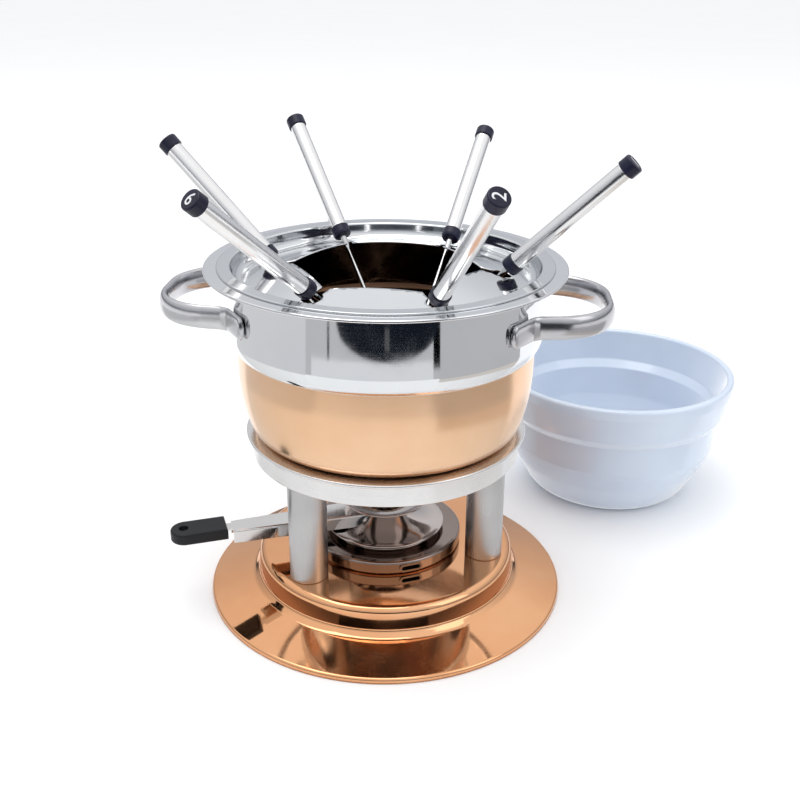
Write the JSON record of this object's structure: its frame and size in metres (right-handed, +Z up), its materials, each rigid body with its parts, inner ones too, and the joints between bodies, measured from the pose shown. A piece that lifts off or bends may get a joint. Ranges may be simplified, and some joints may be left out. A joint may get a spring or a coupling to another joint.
{
  "type": "fondue pot set",
  "caption": "Copper and steel fondue pot on a posted stand with a gel burner, drop-in fork guard, numbered forks and a white ceramic insert.",
  "frame": {"origin": "centre of the stand's flat underside, on the table", "axes": "+Z up; the front of the set faces -Y; the burner's lever points towards -X"},
  "size_m": [0.3721, 0.3355, 0.2677],
  "materials": {
    "polished_copper": "mirror-polished copper, clear lacquered",
    "polished_steel": "mirror-polished stainless steel",
    "brushed_steel": "brushed stainless steel",
    "fork_steel": "satin-polished stainless tube",
    "zinc_steel": "zinc-plated mild steel",
    "black_plastic": "black heat-proof plastic",
    "grip_plastic": "matt black phenolic",
    "wadding": "fibre wadding",
    "gauze_wire": "woven wire gauze",
    "white_ceramic": "white glazed stoneware"
  },
  "bodies": {
    "stand": {"base_skin": "polished_copper", "base_backing_plate": "zinc_steel", "base_underplate": "zinc_steel", "base_screws": "zinc_steel", "stand_ring": "brushed_steel", "post_front_left": "brushed_steel", "post_front_right": "brushed_steel", "post_back": "brushed_steel"},
    "pot": {"pot_vessel": "polished_steel", "pot_copper_shell": "polished_copper", "pot_handle_left": "brushed_steel", "pot_handle_right": "brushed_steel"},
    "guard": {"fork_guard": "polished_steel"},
    "burner": {"burner_pan": "polished_steel", "burner_fuel_pad": "wadding", "burner_gauze": "gauze_wire"},
    "regulator": {"regulator_bell": "polished_steel", "regulator_mouth": "polished_steel", "regulator_vent_ring": "polished_steel", "regulator_strap": "polished_steel", "regulator_grip": "grip_plastic"},
    "insert": {"ceramic_insert": "white_ceramic"},
    "fork_1": {"fork_1_handle": "fork_steel", "fork_1_cap": "black_plastic", "fork_1_collar": "black_plastic", "fork_1_rod": "fork_steel"},
    "fork_2": {"fork_2_handle": "fork_steel", "fork_2_cap": "black_plastic", "fork_2_collar": "black_plastic", "fork_2_rod": "fork_steel"},
    "fork_3": {"fork_3_handle": "fork_steel", "fork_3_cap": "black_plastic", "fork_3_collar": "black_plastic", "fork_3_rod": "fork_steel"},
    "fork_4": {"fork_4_handle": "fork_steel", "fork_4_cap": "black_plastic", "fork_4_collar": "black_plastic", "fork_4_rod": "fork_steel"},
    "fork_5": {"fork_5_handle": "fork_steel", "fork_5_cap": "black_plastic", "fork_5_collar": "black_plastic", "fork_5_rod": "fork_steel"},
    "fork_6": {"fork_6_handle": "fork_steel", "fork_6_cap": "black_plastic", "fork_6_collar": "black_plastic", "fork_6_rod": "fork_steel"}
  },
  "joints": [
    {"name": "pot_lift", "type": "slide", "parent": "stand", "child": "pot", "axis": [0, 0, 1], "range_m": [0, 0.1]},
    {"name": "guard_lift", "type": "slide", "parent": "pot", "child": "guard", "axis": [0, 0, 1], "range_m": [0, 0.12]},
    {"name": "burner_lift", "type": "slide", "parent": "stand", "child": "burner", "axis": [0, 0, 1], "range_m": [0, 0.03]},
    {"name": "regulator_turn", "type": "hinge", "parent": "burner", "child": "regulator", "pos_m": [-0.0005, 0.0025, 0.039], "axis": [0, 0, 1], "range_deg": [-60, 5]},
    {"name": "insert_lift", "type": "slide", "parent": "stand", "child": "insert", "axis": [0, 0, 1], "range_m": [0, 0.1]},
    {"name": "fork_1_pull", "type": "slide", "parent": "guard", "child": "fork_1", "axis": [0.6756, -0.2287, 0.7009], "range_m": [0, 0.13]},
    {"name": "fork_2_pull", "type": "slide", "parent": "guard", "child": "fork_2", "axis": [0.2534, -0.64, 0.7254], "range_m": [0, 0.13]},
    {"name": "fork_3_pull", "type": "slide", "parent": "guard", "child": "fork_3", "axis": [-0.6678, 0.2862, 0.6871], "range_m": [0, 0.13]},
    {"name": "fork_4_pull", "type": "slide", "parent": "guard", "child": "fork_4", "axis": [-0.3606, 0.6196, 0.6972], "range_m": [0, 0.13]},
    {"name": "fork_5_pull", "type": "slide", "parent": "guard", "child": "fork_5", "axis": [0.2854, 0.7357, 0.6143], "range_m": [0, 0.13]},
    {"name": "fork_6_pull", "type": "slide", "parent": "guard", "child": "fork_6", "axis": [-0.546, -0.5309, 0.6481], "range_m": [0, 0.13]}
  ]
}
